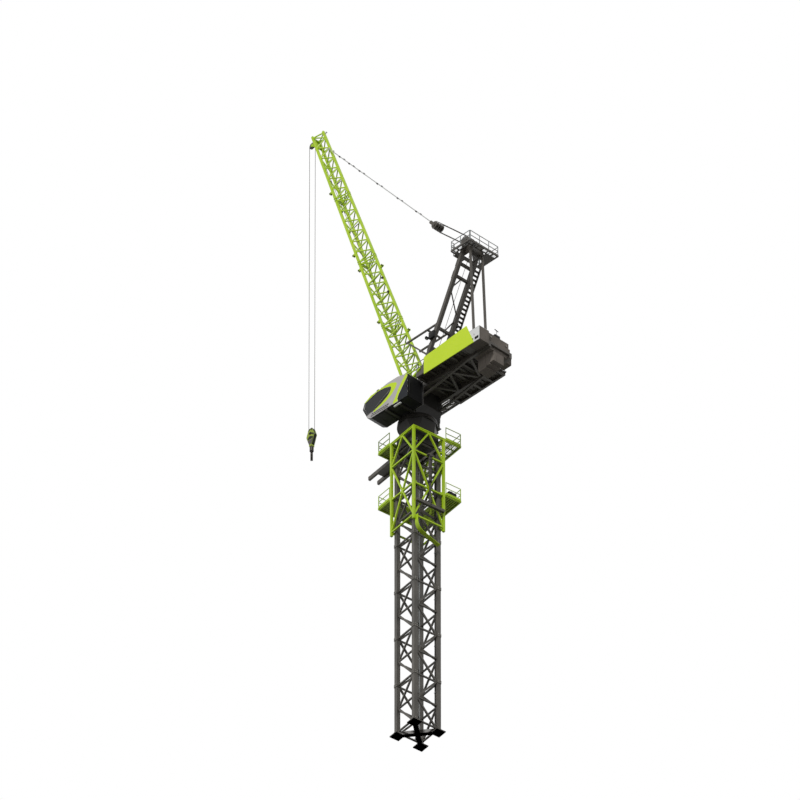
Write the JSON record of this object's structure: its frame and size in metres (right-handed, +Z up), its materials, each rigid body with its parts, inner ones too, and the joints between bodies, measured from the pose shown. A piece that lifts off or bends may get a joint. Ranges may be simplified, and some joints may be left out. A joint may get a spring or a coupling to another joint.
{
  "type": "tower crane scale model 1:2",
  "caption": "Luffing-jib tower crane on a square lattice mast with climbing cage, driver's cab, A-frame, counter jib with weights and a hoisting hook, as a half-size scale model",
  "frame": {"origin": "on the ground under the middle of the mast", "axes": "+Z up, +X out under the jib, +Y to the side of the driver's cab"},
  "size_m": [10.4944, 3.1852, 32.1547],
  "materials": {
    "mast_grey": "weathered grey paint",
    "rail_galvanised": "dull galvanised steel",
    "lime_paint": "lime green enamel",
    "cylinder_steel": "black paint with a bright rod",
    "dark_steel": "greased dark steel",
    "dark_paint": "dark grey paint",
    "cab_silver": "silver grey paint",
    "cab_glass": "tinted glass",
    "cabinet_grey": "light grey paint",
    "weight_concrete": "painted dark slabs",
    "sheave_steel": "worn steel",
    "rope_steel": "greased wire rope"
  },
  "bodies": {
    "mast": {"base_frame": "mast_grey", "mast_legs": "mast_grey", "mast_side_left": "mast_grey", "mast_side_back": "mast_grey", "mast_side_right": "mast_grey", "mast_side_front": "mast_grey", "cage_posts": "lime_paint", "cage_sides": "lime_paint", "cage_platforms": "lime_paint", "cage_rails": "lime_paint", "climbing_cylinder": "cylinder_steel", "entry_rails": "mast_grey", "cable_chute": "lime_paint", "slewing_support": "mast_grey", "slewing_bearing": "dark_steel"},
    "upperworks": {"turntable": "dark_paint", "jib_pins": "dark_steel", "cab_shell": "cab_silver", "cab_glass": "cab_glass", "counter_jib_frame": "dark_paint", "deck": "dark_paint", "banner_panels": "lime_paint", "cabinet": "cabinet_grey", "hoist_winch": "dark_paint", "luffing_winch": "dark_paint", "counterweights": "weight_concrete", "a_frame_legs": "dark_paint", "a_frame_beams": "dark_paint", "back_stays": "dark_paint", "a_frame_head": "dark_paint", "head_sheaves": "sheave_steel", "head_platform": "dark_paint", "upper_rails": "rail_galvanised", "a_frame_stair": "dark_paint", "jib_backstop": "dark_paint"},
    "jib": {"jib_foot_section": "lime_paint", "jib_lower_section": "lime_paint", "jib_upper_section": "lime_paint", "jib_head_section": "lime_paint", "tip_sheave": "sheave_steel", "pendant_lines": "rope_steel", "floating_block": "dark_paint", "luffing_falls": "rope_steel"},
    "rope_swing": {"hoist_ropes": "rope_steel"},
    "hook_block": {"hook_block": "lime_paint"},
    "hook": {"hook": "dark_steel"}
  },
  "joints": [
    {"name": "slew", "type": "hinge", "parent": "mast", "child": "upperworks", "pos_m": [0, 0, 14.78], "axis": [0, 0, 1], "continuous": true},
    {"name": "luff", "type": "hinge", "parent": "upperworks", "child": "jib", "pos_m": [0.225, 0, 16.4], "axis": [0, -1, 0], "range_deg": [-56, 14], "deforming": ["luffing_falls"]},
    {"name": "rope_swing", "type": "hinge", "parent": "jib", "child": "rope_swing", "pos_m": [5.78442, 0, 31.77784], "axis": [0, -1, 0], "range_deg": [-14, 56]},
    {"name": "hoist", "type": "slide", "parent": "rope_swing", "child": "hook_block", "axis": [0, 0, 1], "range_m": [-2.5, 13], "deforming": ["hoist_ropes"]},
    {"name": "hook_swivel", "type": "hinge", "parent": "hook_block", "child": "hook", "pos_m": [5.78442, 0, 17.09784], "axis": [0, 0, 1], "continuous": true}
  ],
  "couplings": [
    {"joint": "rope_swing", "follows": "luff", "ratio": -1}
  ]
}
